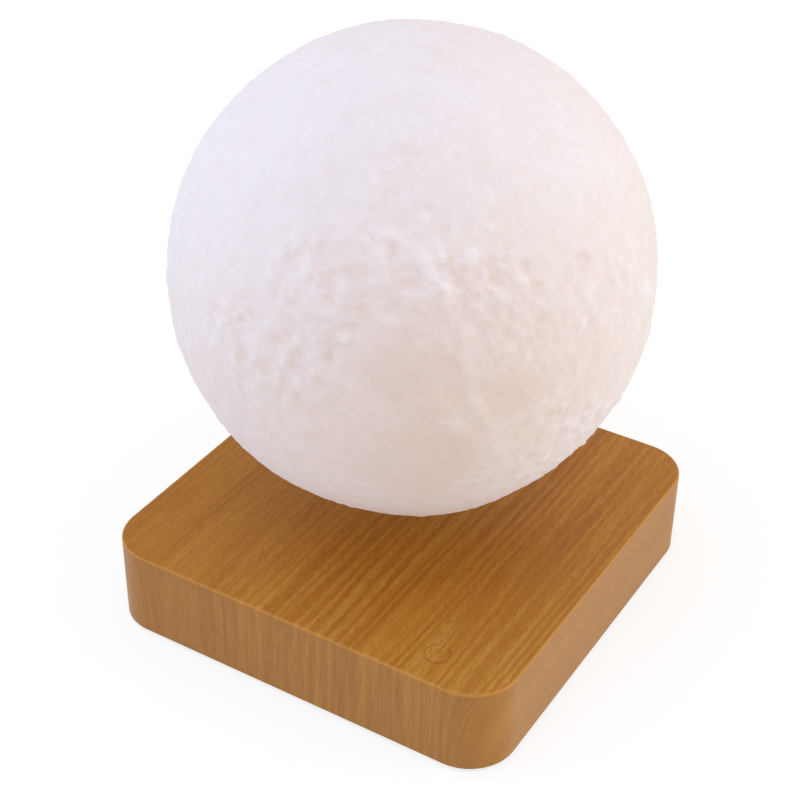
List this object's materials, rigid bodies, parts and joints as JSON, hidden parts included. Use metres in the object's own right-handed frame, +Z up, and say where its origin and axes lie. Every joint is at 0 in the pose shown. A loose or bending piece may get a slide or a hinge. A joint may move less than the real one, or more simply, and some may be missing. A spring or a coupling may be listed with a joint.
{
  "type": "levitating moon lamp",
  "caption": "Moon-shaped globe lamp that floats and turns above a rounded square base with a wood-grain housing, held up by magnets inside the base.",
  "frame": {"origin": "on the table, under the middle of the square base", "axes": "+Z up; -Y to the front of the base, where the touch mark is; +X to its right; the power inlet is at the back (+Y)"},
  "size_m": [0.15, 0.15, 0.196],
  "materials": {
    "wood_shell": "satin oak-like wood grain that wraps from the top over the sides",
    "dark_plastic": "fine moulded texture",
    "foot_rubber": "soft matt",
    "screw_steel": "zinc plated",
    "green_board": "solder mask",
    "white_board": "white solder mask",
    "ferrite": "ground, matt dark grey",
    "copper": "enamelled copper wire",
    "bobbin_nylon": "natural nylon",
    "core_iron": "turned",
    "pin_metal": "plated",
    "chip_black": "moulded epoxy",
    "inlet_plastic": "moulded",
    "spring_metal": "plated spring wire",
    "capacitor_sleeve": "shrink sleeve",
    "film_capacitor": "dipped resin",
    "magnet_nickel": "nickel plated",
    "moon_print": "printed in fine layers, matt, translucent white",
    "led_lens": "phosphor"
  },
  "bodies": {
    "base": {"base_housing": "wood_shell", "bottom_cover": "dark_plastic", "rubber_feet": "foot_rubber", "cover_screws": "screw_steel", "main_board": "green_board", "magnet_tray": "dark_plastic", "tray_screws": "screw_steel", "ring_magnet": "ferrite", "ferrite_shield": "ferrite", "transmitter_coil": "copper", "transmitter_leads": "copper", "coil_bobbins": "bobbin_nylon", "coil_windings": "copper", "coil_cores": "core_iron", "core_screws": "screw_steel", "bobbin_pins": "pin_metal", "sensor_board": "green_board", "sensor_pins": "pin_metal", "hall_sensors": "chip_black", "inlet_body": "inlet_plastic", "inlet_pin": "pin_metal", "inlet_contact": "pin_metal", "touch_spring": "spring_metal", "power_capacitors": "capacitor_sleeve", "tuning_capacitors": "film_capacitor", "driver_chips": "chip_black", "control_chip": "chip_black", "power_inductor": "ferrite"},
    "float": {"float_magnet": "magnet_nickel"},
    "moon": {"moon_globe": "moon_print", "moon_cap": "moon_print", "cap_screws": "screw_steel", "receiver_coil": "copper", "receiver_leads": "copper", "led_carrier": "bobbin_nylon", "led_board": "white_board", "led_screws": "screw_steel", "led_chips": "led_lens", "rectifier_chips": "chip_black"}
  },
  "joints": [
    {"name": "moon_lift", "type": "slide", "parent": "base", "child": "float", "axis": [0, 0, 1], "range_m": [-0.0137, 0.1], "stiffness_N_per_m": 40, "springref_m": 0.05736},
    {"name": "moon_spin", "type": "hinge", "parent": "float", "child": "moon", "pos_m": [0, 0, 0.054], "axis": [0, 0, 1], "continuous": true}
  ]
}
